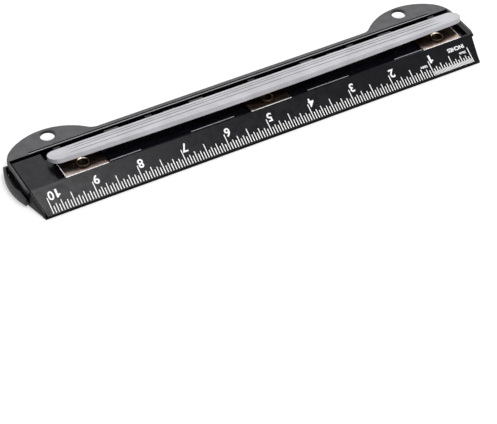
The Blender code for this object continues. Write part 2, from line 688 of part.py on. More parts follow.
def make_chip_tray():
    """Shallow drawer that slides out to the left, with a curved pull standing off its end."""
    inner_face = -HALF_LENGTH - PULL_GAP
    low = (inner_face - PULL_WALL / 2, depth(TRAY_FRONT), TRAY_BOTTOM)
    high = (HALF_LENGTH - WALL - TRAY_END_GAP, depth(TRAY_REAR), TRAY_TOP)
    tray = add("chip_tray", box_mesh("chip_tray", low, high), DARK)
    hollow = box_mesh("tray_hollow", (-HALF_LENGTH + TRAY_WALL, low[1] + TRAY_WALL, TRAY_BOTTOM + TRAY_FLOOR),
                      (high[0] - TRAY_WALL, high[1] - TRAY_WALL, TRAY_TOP + OVERRUN))
    cut(tray, hollow)
    front, rear = depth(PULL_FRONT), depth(PULL_REAR)
    span = rear - front
    middle = (front + rear) / 2
    neck = box_mesh("pull_neck", (inner_face - PULL_BULGE - PULL_WALL / 4, middle - PULL_NECK_SHARE * span,
                                  TRAY_BOTTOM + FIT), (inner_face, depth(TRAY_REAR - TRAY_WALL), TRAY_TOP - FIT))
    join(tray, neck)
    # The inner face bows out by the bulge, and the outer face runs round the same centre
    inner_radius = (span ** 2 / 4 + PULL_BULGE ** 2) / (2 * PULL_BULGE)
    swing = math.degrees(math.asin(span / 2 / inner_radius))
    centre = (inner_face - PULL_BULGE + inner_radius, middle)
    outline = arc(centre, inner_radius + PULL_WALL, 180 - swing, 180 + swing, 12)
    outline += arc(centre, inner_radius, 180 + swing, 180 - swing, 12)
    grip = tool("tray_pull", level_plate("tray_pull", outline, COVER_THICKNESS, COVER_THICKNESS + PULL_HEIGHT))
    bevel(grip, PULL_ROUND)
    boolean(tray, grip, "UNION")


def make_brackets():
    """Folded steel brackets: a guide plate on top, a web that stops the paper, and a stripper plate."""
    outline = [
        (depth(BRACKET_FRONT), BRACKET_TOP),
        (depth(WEB_REAR), BRACKET_TOP),
        (depth(WEB_REAR), SLOT_FLOOR + FIT),
        (depth(PAPER_STOP), SLOT_FLOOR + FIT),
        (depth(PAPER_STOP), CEILING),
        (depth(BRACKET_FRONT + PLATE_THICKNESS), CEILING),
        (depth(BRACKET_FRONT + PLATE_THICKNESS), CEILING + STRIPPER_THICKNESS),
        (depth(PAPER_STOP), CEILING + STRIPPER_THICKNESS),
        (depth(PAPER_STOP), BRACKET_TOP - PLATE_THICKNESS),
        (depth(BRACKET_FRONT + PLATE_THICKNESS), BRACKET_TOP - PLATE_THICKNESS),
        (depth(BRACKET_FRONT + PLATE_THICKNESS), BRACKET_TOP - BRACKET_LIP),
        (depth(BRACKET_FRONT), BRACKET_TOP - BRACKET_LIP),
    ]
    for place, index in PLACES.items():
        x = punch_x(index)
        name = f"punch_bracket_{place}"
        half = BRACKET_LENGTH / 2
        bracket = add(name, section(name, outline, x - half, x + half), NICKEL)
        low, high = SLOT_FLOOR, BODY_HEIGHT + OVERRUN
        middle = (x, depth(PUNCH_SETBACK), (low + high) / 2)
        cut(bracket, cylinder_mesh(f"{name}_bore", middle, BORE_RADIUS, high - low))
        key = HOOK_THICKNESS / 2 + FIT
        cut(bracket, box_mesh(f"{name}_key_slot", (x - key, depth(PUNCH_SETBACK), low),
                              (x + key, depth(SLOT_REAR), high)))
        smooth(bracket)


def make_die_plates():
    for place, index in PLACES.items():
        x = punch_x(index)
        name = f"die_plate_{place}"
        half = BRACKET_LENGTH / 2
        plate = add(name, box_mesh(name, (x - half, depth(DIE_FRONT), DIE_BOTTOM),
                                   (x + half, depth(WEB_REAR), SLOT_FLOOR)), STEEL)
        middle = (x, depth(PUNCH_SETBACK), SLOT_FLOOR - DIE_THICKNESS / 2)
        cut(plate, cylinder_mesh(f"{name}_hole", middle, BORE_RADIUS, DIE_THICKNESS + OVERRUN))
        smooth(plate)


def make_punches():
    """Punches with a well at the top, a notched cutting edge, and a window at the rear for the hook."""
    tongue = tongue_centre(LEVER_OPEN_ANGLE)
    window_half = TONGUE_HEIGHT / 2 + FIT + TONGUE_HEIGHT / 16
    for place, index in PLACES.items():
        x = punch_x(index)
        name = f"punch_{place}"
        middle = (x, depth(PUNCH_SETBACK), (PUNCH_BOTTOM + PUNCH_TOP) / 2)
        punch = add(name, cylinder_mesh(name, (0, 0, 0), PUNCH_DIAMETER / 2, PUNCH_TOP - PUNCH_BOTTOM), HARD)
        punch.location = middle
        well = cylinder_mesh(f"{name}_well", (x, middle[1], PUNCH_TOP), PUNCH_DIAMETER / 2 - PUNCH_WALL,
                             2 * PUNCH_WELL)
        cut(punch, well)
        key = HOOK_THICKNESS / 2 + FIT
        height = HINGE_HEIGHT + tongue[1]
        cut(punch, box_mesh(f"{name}_window", (x - key, middle[1] + PUNCH_DIAMETER / 4, height - window_half),
                            (x + key, middle[1] + PUNCH_DIAMETER, height + window_half)))
        notch_middle = (x, middle[1], PUNCH_BOTTOM + PUNCH_NOTCH - NOTCH_RADIUS)
        cut(punch, cylinder_mesh(f"{name}_notch", notch_middle, NOTCH_RADIUS, 2 * PUNCH_DIAMETER, axis="Y"))
        smooth(punch)


def turned_by(angle, y, z):
    """A point of the shut lever, given from the hinge, after the lever is opened by this angle."""
    return (y * math.cos(angle) + z * math.sin(angle), z * math.cos(angle) - y * math.sin(angle))


def shut_tongue_height(y):
    """Height from the hinge of the tongue's middle line, with the lever shut."""
    drop = (PUNCH_STROKE - TONGUE_RISE) + (-y - DRIVE_ARM) * math.tan(LEVER_OPEN_ANGLE / 2)
    return -drop


def tongue_centre(angle):
    """Middle of the tongue where it passes the rear wall of its punch, from the hinge."""
    return turned_by(angle, -DRIVE_ARM, shut_tongue_height(-DRIVE_ARM))


def from_hinge(setback):
    """Local y of the lever's parts, measured from the hinge with the lever shut."""
    return setback - HINGE_SETBACK


def lever_outline(inset):
    """Plan of the lever: round corners and a bowed front edge; inset moves it inwards all round."""
    half = LEVER_LENGTH / 2 - inset
    rear = from_hinge(LEVER_REAR) - inset
    front = from_hinge(LEVER_REAR - LEVER_WIDTH) + inset
    rear_radius = LEVER_REAR_ROUND - inset
    front_radius = LEVER_FRONT_ROUND - inset
    straight = half - front_radius
    bow = LEVER_BOW * (2 * straight / LEVER_LENGTH) ** 2
    front_centre = front + bow + front_radius
    outline = arc((half - rear_radius, rear - rear_radius), rear_radius, 0, 90, 8)
    outline += arc((rear_radius - half, rear - rear_radius), rear_radius, 90, 180, 8)
    outline += arc((-straight, front_centre), front_radius, 180, 270, 8)
    for step in range(1, BOW_STEPS):
        share = 2 * step / BOW_STEPS - 1
        outline.append((share * straight, front + bow * share ** 2))
    outline += arc((straight, front_centre), front_radius, 270, 360, 8)
    return outline


def weigh_top_edges(mesh, top):
    """Marks the edges at this height, so that only they are rounded."""
    weight = mesh.attributes.new("bevel_weight_edge", "FLOAT", "EDGE")
    for edge in mesh.edges:
        heights = [mesh.vertices[index].co.z for index in edge.vertices]
        weight.data[edge.index].value = 1.0 if min(heights) > top - FIT / 2 else 0.0


def make_lever(axis):
    """Grey moulding, thicker at the front and open below, with knuckles round the rod and stakes for the bar."""
    bottom, top = LEVER_BOTTOM - HINGE_HEIGHT, LEVER_TOP - HINGE_HEIGHT
    mesh = level_plate("lever", lever_outline(0), bottom, top)
    weigh_top_edges(mesh, top)
    for point in mesh.vertices:
        if point.co.z > bottom + FIT:
            point.co.z += LEVER_RISE * (from_hinge(LEVER_REAR) - point.co.y) / LEVER_WIDTH
    lever = add("lever", mesh, GREY)
    lever.parent = axis
    rounding = lever.modifiers.new("top_edge", "BEVEL")
    rounding.width = LEVER_EDGE
    rounding.segments = 3
    rounding.limit_method = "WEIGHT"
    pocket_top = top - LEVER_SKIN
    cut(lever, level_plate("lever_pocket", lever_outline(LEVER_SKIN), bottom - OVERRUN, pocket_top))
    rear = from_hinge(LEVER_REAR)
    leg_top = bottom + KNUCKLE_ROOT
    profile = arc((0, 0), KNUCKLE_RADIUS, 190, 430, 14)
    profile += [
        (rear, leg_top),
        (rear - LEVER_SKIN + FIT / 3, leg_top),
        (rear - LEVER_SKIN + FIT / 3, bottom - FIT),
        (rear - KNUCKLE_LEG, bottom - FIT),
    ]
    for share in KNUCKLE_SHARES:
        x = share * LEVER_LENGTH
        join(lever, section(f"knuckle_{share}", profile, x - KNUCKLE_WIDTH / 2, x + KNUCKLE_WIDTH / 2))
    for x, y in stake_places():
        middle = (x, y, (bottom + pocket_top) / 2 + FIT)
        join(lever, cylinder_mesh(f"stake_{x:.3f}", middle, STAKE_RADIUS, pocket_top - bottom, sides=SMALL_SIDES))
    hole = cylinder_mesh("knuckle_hole", (0, 0, 0), ROD_DIAMETER / 2 + FIT, LEVER_LENGTH, axis="X",
                         sides=SMALL_SIDES)
    cut(lever, hole)
    smooth(lever)


def stake_places():
    """Plastic stakes that hold the bar, in the lever's own x and y."""
    y = from_hinge(LEVER_REAR - LEVER_WIDTH / 2)
    return [(share * LEVER_LENGTH, y) for share in STAKE_SHARES]


def make_lever_bar(axis):
    """Steel strip that stiffens the lever from below."""
    half = LEVER_LENGTH / 2 - LEVER_REAR_ROUND
    low = (-half, from_hinge(LEVER_REAR - LEVER_WIDTH) + LEVER_BOW + BAR_INSET, BAR_BOTTOM - HINGE_HEIGHT)
    high = (half, from_hinge(LEVER_REAR) - BAR_INSET, BAR_TOP - HINGE_HEIGHT)
    bar = add("lever_bar", box_mesh("lever_bar", low, high), STEEL)
    bar.parent = axis
    for x, y in stake_places():
        middle = (x, y, (low[2] + high[2]) / 2)
        cut(bar, cylinder_mesh(f"stake_hole_{x:.3f}", middle, STAKE_RADIUS + FIT, BAR_THICKNESS + OVERRUN,
                               sides=SMALL_SIDES))
    smooth(bar)


def make_drive_hooks(axis):
    """Blades below the bar: each reaches down through its bracket and forward into its punch."""
    top = BAR_BOTTOM - FIT - HINGE_HEIGHT
    rear = -HOOK_REAR
    leg_front = -HOOK_REAR - HOOK_LEG
    tip = -DRIVE_ARM - TONGUE_REACH
    half = TONGUE_HEIGHT / 2
    profile = [
        (rear, top),
        (rear, shut_tongue_height(rear) - half),
        (tip, shut_tongue_height(tip) - half),
        (tip, shut_tongue_height(tip) + half),
        (leg_front, shut_tongue_height(leg_front) + half),
        (leg_front, top),
    ]
    for place, index in PLACES.items():
        x = index * PUNCH_SPACING
        name = f"drive_hook_{place}"
        hook = add(name, section(name, profile, x - HOOK_THICKNESS / 2, x + HOOK_THICKNESS / 2), BRASS)
        hook.parent = axis


def make_hinge_rod():
    rod = add("hinge_rod", cylinder_mesh("hinge_rod", (0, 0, 0), ROD_DIAMETER / 2, ROD_LENGTH, axis="X",
                                         sides=SMALL_SIDES), STEEL)
    rod.location = (PUNCH_OFFSET, depth(HINGE_SETBACK), HINGE_HEIGHT)
    smooth(rod)


def spring_points():
    """A torsion spring round the rod: rear leg, curls, and a front leg along the underside of the open lever."""
    last = 90 - math.degrees(LEVER_OPEN_ANGLE) + 360 * SPRING_TURNS
    steps = math.ceil(last / 360 * POINTS_PER_CURL)
    points = [(0, SPRING_RADIUS, -SPRING_REAR_LEG)]
    for step in range(steps + 1):
        angle = math.radians(last * step / steps)
        x = SPRING_PITCH * math.degrees(angle) / 360
        points.append((x, SPRING_RADIUS * math.cos(angle), SPRING_RADIUS * math.sin(angle)))
    x, y, z = points[-1]
    points.append((x, y - SPRING_FRONT_LEG * math.cos(LEVER_OPEN_ANGLE),
                   z + SPRING_FRONT_LEG * math.sin(LEVER_OPEN_ANGLE)))
    middle = x / 2
    return [(px - middle, py, pz) for px, py, pz in points]


def least_gap(points, wire):
    """Least gap between stretches of the wire that are half a curl or more apart."""
    dense = []
    for first, second in zip(points, points[1:]):
        for step in range(4):
            dense.append([a + (b - a) * step / 4 for a, b in zip(first, second)])
    apart = 2 * POINTS_PER_CURL
    return min(math.dist(a, b) for i, a in enumerate(dense) for b in dense[i + apart:]) - wire


def make_lever_springs():
    points = spring_points()
    print(f"lever spring: least gap to itself {least_gap(points, SPRING_WIRE) * 1000:.2f} mm")
    for place, share in SPRING_SHARES.items():
        name = f"lever_spring_{place}"
        curve = bpy.data.curves.new(name, "CURVE")
        curve.dimensions = "3D"
        curve.bevel_depth = SPRING_WIRE / 2
        curve.bevel_resolution = 1
        curve.use_fill_caps = True
        spline = curve.splines.new("POLY")
        spline.points.add(len(points) - 1)
        for point, place_of in zip(spline.points, points):
            point.co = (*place_of, 1)
        spring = add(name, mesh_of_curve(name, curve), STEEL)
        spring.location = (along(share), depth(HINGE_SETBACK), HINGE_HEIGHT)
        smooth(spring)


def make_screws():
    screws("cover_screw", TAB_SCREWS, LOW_HEAD, SCREW_HEAD_HEIGHT, TAB_SCREW_TIP)
    screws("frame_screw", FRAME_SCREWS, BOSS_HEAD, SCREW_HEAD_HEIGHT, FRAME_SCREW_TIP)
    screws("bottom_screw", BOTTOM_SCREWS, BOTTOM_HEAD, THIN_HEAD_HEIGHT, FRONT_SCREW_TIP)


def main():
    make_housing()
    make_ruler_cover()
    make_binder_frame()
    make_bottom_cover()
    make_chip_tray()
    make_brackets()
    make_die_plates()
    make_punches()
    axis = bpy.data.objects.new("lever_axis", None)
    axis.location = (PUNCH_OFFSET, depth(HINGE_SETBACK), HINGE_HEIGHT)
    axis.rotation_euler.x = -LEVER_OPEN_ANGLE
    PARTS.objects.link(axis)
    make_lever(axis)
    make_lever_bar(axis)
    make_drive_hooks(axis)
    make_hinge_rod()
    make_lever_springs()
    make_screws()
    print(f"punch stroke {PUNCH_STROKE * 1000:.2f} mm, drive arm {DRIVE_ARM * 1000:.2f} mm")


main()
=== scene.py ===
"""Looks of the slim three hole punch: its finishes, its printed ruler, and finer copies of the
solids whose edges, grooves and seams show.

Metres, in the part's own frame: +X right along the ruler, +Y to the rear, +Z up.
"""

import math

import bmesh
import bpy
from mathutils import Matrix, Vector


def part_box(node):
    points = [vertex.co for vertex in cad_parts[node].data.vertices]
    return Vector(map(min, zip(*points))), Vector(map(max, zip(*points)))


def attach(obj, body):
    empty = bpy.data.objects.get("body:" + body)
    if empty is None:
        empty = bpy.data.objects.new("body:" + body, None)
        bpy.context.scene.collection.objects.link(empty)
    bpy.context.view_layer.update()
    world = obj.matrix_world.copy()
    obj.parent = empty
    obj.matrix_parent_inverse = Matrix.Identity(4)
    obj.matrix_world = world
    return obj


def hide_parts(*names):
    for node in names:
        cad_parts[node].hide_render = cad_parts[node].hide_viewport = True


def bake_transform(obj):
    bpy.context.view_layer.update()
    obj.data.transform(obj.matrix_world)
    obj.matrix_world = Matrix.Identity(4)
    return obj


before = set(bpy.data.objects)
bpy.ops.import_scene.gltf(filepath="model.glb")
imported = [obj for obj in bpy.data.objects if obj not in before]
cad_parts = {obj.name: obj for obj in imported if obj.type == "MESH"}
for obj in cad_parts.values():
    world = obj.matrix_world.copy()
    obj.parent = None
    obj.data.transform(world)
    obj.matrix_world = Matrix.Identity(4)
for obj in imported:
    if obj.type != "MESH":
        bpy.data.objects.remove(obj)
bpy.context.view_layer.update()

# How near a point has to lie to a level to count as on it
TOUCH = 0.00001
CLOSE = 0.00002
NEAR = 0.0001

# Ruler face: a slope from the front lip up to the ridge, with its five inch mark at x 0
FRONT_Y = -0.02175
LIP_Z = 0.0024
RIDGE_Y = -0.00815
RIDGE_Z = 0.0104
SLOPE = math.atan2(RIDGE_Z - LIP_Z, RIDGE_Y - FRONT_Y)
INCH = 0.0254
RULER_INCHES = 10
RULER_MIDDLE = 5
FINEST = 32

# Body, and the rear rail of the frame with its seam and lip
BODY_DEPTH = 0.0435
BODY_TOP = 0.0104
HALF_LENGTH = 0.1356
FRAME_ROUND = 0.0006
RAIL_WIDTH = 0.0047
RAIL_HALF = 0.1290
SEAM_BEHIND = 0.0019
SEAM_WIDTH = 0.0008
SEAM_DEPTH = 0.0008
SEAM_HALF = 0.1225
SEAM_FADE = 0.0008
LIP_WIDTH = 0.0007
# Edges that turn by more than this, in radians, are rounded
FRAME_ANGLE = 1
# The upward part of a face's normal: more than this when level, less than this when upright
LEVEL_FACE = 0.999
UPRIGHT_FACE = 0.3

# Ear holes, which are drawn in to their size in the photograph
EAR_HOLE_X = 0.1080
EAR_HOLE_Y = 0.02705
EAR_HOLE_REACH = 0.0046
EAR_HOLE_TAPER = 0.92

# Lever, given shut and from its hinge
HINGE = Vector((0.0071, 0.01445, 0.0088))
OPEN_ANGLE = math.radians(12.5)
LEVER_REAR = -0.0040
LEVER_WIDTH = 0.0148
LEVER_REAR_TOP = 0.0038
LEVER_RISE = 0.0010
LEVER_END_START = 0.110
LEVER_END_REACH = 0.0024
LEVER_END_SPAN = LEVER_END_REACH * 3
GROOVES = (0.0024, 0.0048, 0.0084)
GROOVE_HALF = 0.1140
GROOVE_FADE = 0.0120
GROOVE_RADIUS = 0.00045
GROOVE_DEPTH = 0.00040
GROOVE_LIFT = 0.00004
GROOVE_STEPS = 40
GROOVE_SHADE_TOP = 0.00003
GROOVE_SHADE_BOTTOM = 0.0006

# Pull on the chip tray; its front and rear are given from the front of the body
PULL_FRONT = 0.0138
PULL_REAR = 0.0419
PULL_BOTTOM = 0.0010
PULL_TOP = 0.0060
PULL_GAP = 0.0003
PULL_REACH = 0.0034
PULL_BULGE = 0.0027
PULL_WALL = 0.0014
PULL_END_WALL = 0.0013
PULL_STEPS = 20
PULL_ROUND = 0.0004
PULL_SOFT_EDGE = 0.00018
# Edges of the grip that turn by more than this, in radians, are rounded
PULL_ANGLE = 0.8
# Its inner rear corner follows the housing's, as x and the distance before the pull's rear
PULL_CORNER = ((-0.1359, 0.0060), (-0.13557, 0.0044), (-0.13462, 0.0016), (-0.1336, 0.00145),
               (-0.1336, 0))
HOLLOW_FLOOR = 0.0030
HOLLOW_FRONT = 0.0095
HOLLOW_MOUTH = 0.0045
HOLLOW_OVERRUN = 0.001
HOLLOW_STEPS = 14
# A block round the solid's own pull: its low corner, and the rear and top of its high one
BEYOND_LOW = (-0.15, -0.03, -0.01)
BEYOND_HIGH = (0.04, 0.02)

# Brackets, and the fins
BRACKET_EDGE = 0.0006
FINS = ((-0.0879, -0.0702), (-0.0408, -0.0153), (0.0295, 0.0550), (0.0844, 0.1021))
FIN_Y = -0.00645
FIN_TOP = 0.0101
FIN_RADIUS = 0.00022
FIN_SIDES = 10

# Mouths of the punches, whose inner face is painted light as a highlight
MOUTH_HEIGHT = 0.00045
MOUTH_SHOULDER = MOUTH_HEIGHT * 0.8
MOUTH_SINK = 0.0002
MOUTH_CHAMFER = 0.0001
MOUTH_LAND = 0.00025
MOUTH_LIFT = 0.00004
MOUTH_STEPS = 64
MOUTH_BRIGHT_TOP = MOUTH_HEIGHT * 0.9
MOUTH_BRIGHT_INSET = 0.00012

# Camera fitted to the photograph
CAMERA_PLACE = (-0.3847, -0.6908, 0.6664)
CAMERA_TURN = (math.radians(47), 0, math.radians(-28.92))
CAMERA_LENS = 139.6
CAMERA_SENSOR = 36
CAMERA_CLIP = (0.01, 50)

# Lights: name, place, aim, size and power
LIGHTS = (
    ("top_softbox", (0.03, -0.26, 1.0), (0, 0, 0), (0.36, 0.40), 6.3),
    ("rear_softbox", (0.5, 0.95, 0.9), (0, 0, 0), (1.2, 0.7), 6),
    ("front_fill", (0.5, -0.9, 0.8), (0, 0, 0), (0.9, 0.85), 3.8),
    ("low_front", (0.0, -0.8, 0.16), (0, 0, 0.01), (0.8, 0.2), 0.4),
)
AMBIENT = 0.35
FLOOR_HALF = 6
FLOOR_DROP = 0.0002
FLOOR_GREY = 0.55
FLOOR_GLOW = 0.5


# Materials

def new_material(name):
    made = bpy.data.materials.new(name)
    made.use_nodes = True
    tree = made.node_tree
    return made, tree.nodes, tree.links, tree.nodes["Principled BSDF"]


def noise(nodes, links, scale, detail, stretch=(1, 1, 1)):
    """Noise in the object's own metres; stretch draws it out along an axis."""
    place = nodes.new("ShaderNodeTexCoord")
    mapping = nodes.new("ShaderNodeMapping")
    mapping.inputs["Scale"].default_value = stretch
    texture = nodes.new("ShaderNodeTexNoise")
    texture.inputs["Scale"].default_value = scale
    texture.inputs["Detail"].default_value = detail
    links.new(place.outputs["Object"], mapping.inputs["Vector"])
    links.new(mapping.outputs["Vector"], texture.inputs["Vector"])
    return texture.outputs["Fac"]


def ramp(nodes, links, source, low, high, start=0.3, end=0.7):
    """Colours from low to high as the source goes from start to end."""
    made = nodes.new("ShaderNodeValToRGB")
    for element, place, colour in zip(made.color_ramp.elements, (start, end), (low, high)):
        element.position = place
        element.color = (*colour, 1)
    links.new(source, made.inputs["Fac"])
    return made.outputs["Color"]


def span(nodes, links, source, low, high, start=0.3, end=0.7):
    """Numbers from low to high as the source goes from start to end."""
    made = nodes.new("ShaderNodeMapRange")
    limits = {"From Min": start, "From Max": end, "To Min": low, "To Max": high}
    for socket, value in limits.items():
        made.inputs[socket].default_value = value
    links.new(source, made.inputs["Value"])
    return made.outputs["Result"]


def bump(nodes, links, shader, height, strength, distance):
    made = nodes.new("ShaderNodeBump")
    made.inputs["Strength"].default_value = strength
    made.inputs["Distance"].default_value = distance
    links.new(height, made.inputs["Height"])
    links.new(made.outputs["Normal"], shader.inputs["Normal"])


def shaded(colour, share):
    return [channel * share for channel in colour]


def plastic(name, colour, roughness, shine, grain=0.00002):
    """Moulded plastic: spark eroded grain, cloudy sheen and faint handling marks."""
    made, nodes, links, shader = new_material(name)
    shader.inputs["Specular IOR Level"].default_value = shine
    cloud = noise(nodes, links, scale=90, detail=5)
    sheen = ramp(nodes, links, cloud, shaded(colour, 0.86), shaded(colour, 1.12))
    links.new(sheen, shader.inputs["Base Color"])
    marks = noise(nodes, links, scale=260, detail=6)
    handled = span(nodes, links, marks, roughness - 0.06, roughness + 0.08)
    links.new(handled, shader.inputs["Roughness"])
    eroded = noise(nodes, links, scale=3800, detail=2)
    bump(nodes, links, shader, eroded, strength=0.35, distance=grain)
    return made


def metal(name, colour, roughness, stretch=(1, 12, 12), scale=700, painted_reflection_tint=None):
    """Metal with drawn lines along one axis, and darker patches where it has been handled; a given
    tint makes the patches a painted reflection instead.
    """
    made, nodes, links, shader = new_material(name)
    shader.inputs["Metallic"].default_value = 1.0
    cloud = noise(nodes, links, scale=150, detail=4)
    patches = ramp(nodes, links, cloud, painted_reflection_tint or shaded(colour, 0.8), colour)
    links.new(patches, shader.inputs["Base Color"])
    lines = noise(nodes, links, scale, detail=5, stretch=stretch)
    drawn = span(nodes, links, lines, roughness * 0.7, roughness * 1.35)
    links.new(drawn, shader.inputs["Roughness"])
    bump(nodes, links, shader, lines, strength=0.3, distance=0.000006)
    return made


def paint(name, colour):
    """Printed ink: slightly uneven, and a little worn."""
    made, nodes, links, shader = new_material(name)
    worn = noise(nodes, links, scale=1500, detail=6)
    faded = ramp(nodes, links, worn, shaded(colour, 0.82), colour, start=0.25, end=0.5)
    links.new(faded, shader.inputs["Base Color"])
    uneven = noise(nodes, links, scale=400, detail=3)
    links.new(span(nodes, links, uneven, 0.42, 0.6), shader.inputs["Roughness"])
    bump(nodes, links, shader, worn, strength=0.2, distance=0.00001)
    return made


BLACK = plastic("black_moulding", (0.0028, 0.0025, 0.0045), roughness=0.27, shine=0.115)
# Painted shade: near black for the seam, the rail's front face and the strip before the lip, where
# the gap's shadow falls
SHADE = plastic("seam_shade", (0.0015, 0.0015, 0.0016), roughness=0.7, shine=0.0)
# Painted highlight: light grey for the fins' top edge, where they catch the light
FIN_HIGHLIGHT = plastic("fin_highlight", (0.34, 0.34, 0.35), roughness=0.30, shine=0.5)
FRAME = plastic("frame_moulding", (0.024, 0.023, 0.027), roughness=0.42, shine=0.42)
# Painted highlight: light grey for the narrow lip before the seam, where the rail's edge catches
# the light
LIP_HIGHLIGHT = plastic("frame_lip_highlight", (0.16, 0.16, 0.17), roughness=0.30, shine=0.5)
# Dark moulding of the tray and bottom cover; on the lever's knuckles it is painted shade
DARK = plastic("dark_moulding", (0.026, 0.025, 0.028), roughness=0.5, shine=0.35)
GREY = plastic("lever_grey", (0.465, 0.460, 0.490), roughness=0.36, shine=0.5, grain=0.00001)
# Painted shade: a darker grey for the inside of the lever's grooves
GROOVE_PAINTED_SHADE = plastic("lever_groove_shade", (0.20, 0.20, 0.215), roughness=0.5, shine=0.3, grain=0.00001)
# Painted reflection: the sheet's warm tone is partly the plating's own tint and partly warm
# surroundings reflected; its brown patches are painted reflection
PLATED = metal("plated_sheet", (0.28, 0.24, 0.225), roughness=0.20, painted_reflection_tint=(0.15, 0.095, 0.065))
# Painted highlight: near white for the brackets' rounded front and outer end edges
EDGE_HIGHLIGHT = plastic("bracket_edge_highlight", (0.95, 0.94, 0.92), roughness=0.25, shine=0.8, grain=0.000005)
# Painted highlight: light brass metal for the inner face of the punches' mouths
MOUTH_HIGHLIGHT = metal("punch_mouth_highlight", (0.92, 0.82, 0.66), roughness=0.20, stretch=(1, 1, 1))
STEEL = metal("bright_steel", (0.58, 0.57, 0.56), roughness=0.28)
BAR = metal("bar_steel", (0.50, 0.42, 0.36), roughness=0.40)
# Punch steel, darkened: partly the steel's own dark tone and partly painted shade for the dark
# hollow mouths
PUNCH_STEEL_AND_SHADE = metal("hardened_steel", (0.10, 0.08, 0.06), roughness=0.30, stretch=(1, 1, 14))
BRASS = metal("brass_blade", (0.80, 0.62, 0.32), roughness=0.24, stretch=(12, 1, 12))
ROD = metal("oiled_rod", (0.060, 0.058, 0.055), roughness=0.35)
WIRE = metal("spring_wire", (0.16, 0.16, 0.16), roughness=0.30, stretch=(1, 1, 1), scale=1200)
INK = paint("white_ink", (0.86, 0.86, 0.86))

FINISHES = {
    "housing": BLACK,
    "ruler_cover": BLACK,
    "binder_frame": FRAME,
    "bottom_cover": DARK,
    "chip_tray": DARK,
    "lever": GREY,
    "lever_bar": BAR,
    "punch_bracket": PLATED,
    "die_plate": STEEL,
    "punch": PUNCH_STEEL_AND_SHADE,
    "drive_hook": BRASS,
    "hinge_rod": ROD,
    "lever_spring": WIRE,
    "cover_screw": STEEL,
    "frame_screw": STEEL,
    "bottom_screw": STEEL,
}


def family(name):
    """The longest key of FINISHES that the node's name starts with."""
    return max((key for key in FINISHES if name.startswith(key)), key=len)


for name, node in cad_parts.items():
    node.data.materials.clear()
    node.data.materials.append(FINISHES[family(name)])


# Objects and shapes

def placed(name, data):
    made = bpy.data.objects.new(name, data)
    bpy.context.scene.collection.objects.link(made)
    return made


def link(name, mesh, finishes, body):
    """A piece that moves with a body, whose faces take the first finish unless set otherwise."""
    made = placed(name, mesh)
    mesh.materials.clear()
    for finish in finishes:
        mesh.materials.append(finish)
    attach(made, body)
    return made


def mesh_of(name, shape):
    mesh = bpy.data.meshes.new(name)
    shape.to_mesh(mesh)
    shape.free()
    return mesh


def add_box(shape, low, high):
    made = bmesh.ops.create_cube(shape, size=1)
    for point in made["verts"]:
        for axis in range(3):
            point.co[axis] = low[axis] + (point.co[axis] + 0.5) * (high[axis] - low[axis])


def prism(outline, bottom, top):
    """A closed shape on an outline of (x, y), from the bottom to the top."""
    shape = bmesh.new()
    base = shape.faces.new([shape.verts.new((x, y, bottom)) for x, y in outline])
    raised = bmesh.ops.extrude_face_region(shape, geom=[base])
    for item in raised["geom"]:
        if isinstance(item, bmesh.types.BMVert):
            item.co.z = top
    bmesh.ops.recalc_face_normals(shape, faces=shape.faces)
    return shape


def weld(mesh, distance):
    """Joins the mesh's faces where they meet, and drops what has no area."""
    shape = bmesh.new()
    shape.from_mesh(mesh)
    bmesh.ops.remove_doubles(shape, verts=shape.verts, dist=distance)
    bmesh.ops.dissolve_degenerate(shape, dist=distance, edges=shape.edges)
    loose = [point for point in shape.verts if not point.link_faces]
    bmesh.ops.delete(shape, geom=loose, context="VERTS")
    shape.to_mesh(mesh)
    shape.free()


# Printed ruler

TICK_WIDTH = 0.00048
FINE_TICK_WIDTH = 0.00044
TICK_START = 0.0004
TICK_ENDS = {1: 0.0094, 2: 0.0083, 4: 0.0063, 8: 0.0053, 16: 0.0043, 32: 0.0027}
INK_HEIGHT = 0.00003
INK_WELD = 1e-6
DIGIT_SIZE = 0.0066
DIGIT_MIDDLE = 0.0101
DIGIT_GAP = 0.0007
DIGIT_BOLD = 0.02
# Outline of the figure 1, its middle and the width of the 0 behind it, in digit sizes
ONE = ((-0.22, 0.0), (-0.04, 0.0), (-0.04, 0.72), (-0.18, 0.72), (-0.23, 0.61), (-0.38, 0.57),
       (-0.38, 0.45), (-0.22, 0.45))
ONE_MIDDLE = 0.36
ZERO_WIDTH = 0.62
# Words: text, x, place up the slope and size
WORDS = (("INCHES", 0.1205, 0.0111, 0.0031), ("32nds", 0.1232, 0.0074, 0.0018),
         ("16ths", 0.0980, 0.0070, 0.0020))
WORD_BOLD = 0.03


def on_slope(x=0, up=0, turn=0):
    """Takes flat drawings, x along the ruler and y up its slope, onto the ruler face."""
    face = Matrix.Translation((0, FRONT_Y, LIP_Z)) @ Matrix.Rotation(SLOPE, 4, "X")
    return face @ Matrix.Translation((x, up, 0)) @ Matrix.Rotation(turn, 4, "Z")


def mark_x(inches):
    return (RULER_MIDDLE - inches) * INCH


def tick_kind(step):
    """The largest fraction of an inch, as its divisor, that a step of 1/32 inch falls on."""
    return next(divisor for divisor in TICK_ENDS if step % (FINEST // divisor) == 0)


def make_ticks():
    """All ticks in one piece. Only the first inch is divided to the finest."""
    shape = bmesh.new()
    for step in range(RULER_INCHES * FINEST + 1):
        kind = tick_kind(step)
        if kind == FINEST and step > FINEST:
            continue
        half = (FINE_TICK_WIDTH if kind == FINEST else TICK_WIDTH) / 2
        x = mark_x(step / FINEST)
        add_box(shape, (x - half, TICK_START, -INK_HEIGHT), (x + half, TICK_ENDS[kind], INK_HEIGHT))
    bmesh.ops.transform(shape, matrix=on_slope(), verts=shape.verts)
    link("ruler_ticks", mesh_of("ruler_ticks", shape), (INK,), "body")


